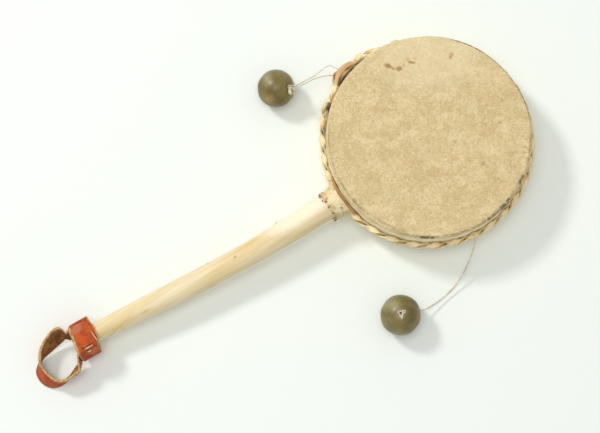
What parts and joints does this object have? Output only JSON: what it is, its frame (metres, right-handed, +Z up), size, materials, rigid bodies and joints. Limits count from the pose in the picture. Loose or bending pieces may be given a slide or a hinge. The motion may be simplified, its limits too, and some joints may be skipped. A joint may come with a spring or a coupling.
{
  "type": "pellet drum",
  "caption": "Shallow round drum on a crooked stick, with seed pellets on strings that strike its laced rawhide heads, and a leather wrist loop held by a collar.",
  "frame": {"origin": "centre of the back head's flat face, which the drum lies on", "axes": "+Z up out of the front head, -X along the stick towards the wrist loop, +Y to the side of the doubled string"},
  "size_m": [0.3674, 0.1972, 0.038],
  "materials": {
    "peeled_wood": "satin",
    "hoop_wood": "matte",
    "rawhide": "satin",
    "thong": "satin",
    "orange_leather": "satin",
    "seed": "satin",
    "twine": "matte"
  },
  "bodies": {
    "root": {"handle": "peeled_wood", "frame_hoop": "hoop_wood", "front_head": "rawhide", "back_head": "rawhide", "edge_lace": "thong", "neck_wrap": "rawhide", "strap_collar": "orange_leather", "wrist_loop": "orange_leather", "collar_stitch_1": "twine", "collar_stitch_2": "twine", "pellet_1": "seed", "pellet_2": "seed", "string_1_upper": "twine", "string_1_lower": "twine", "string_2": "twine", "knot_1": "twine", "knot_2": "twine"}
  },
  "joints": []
}
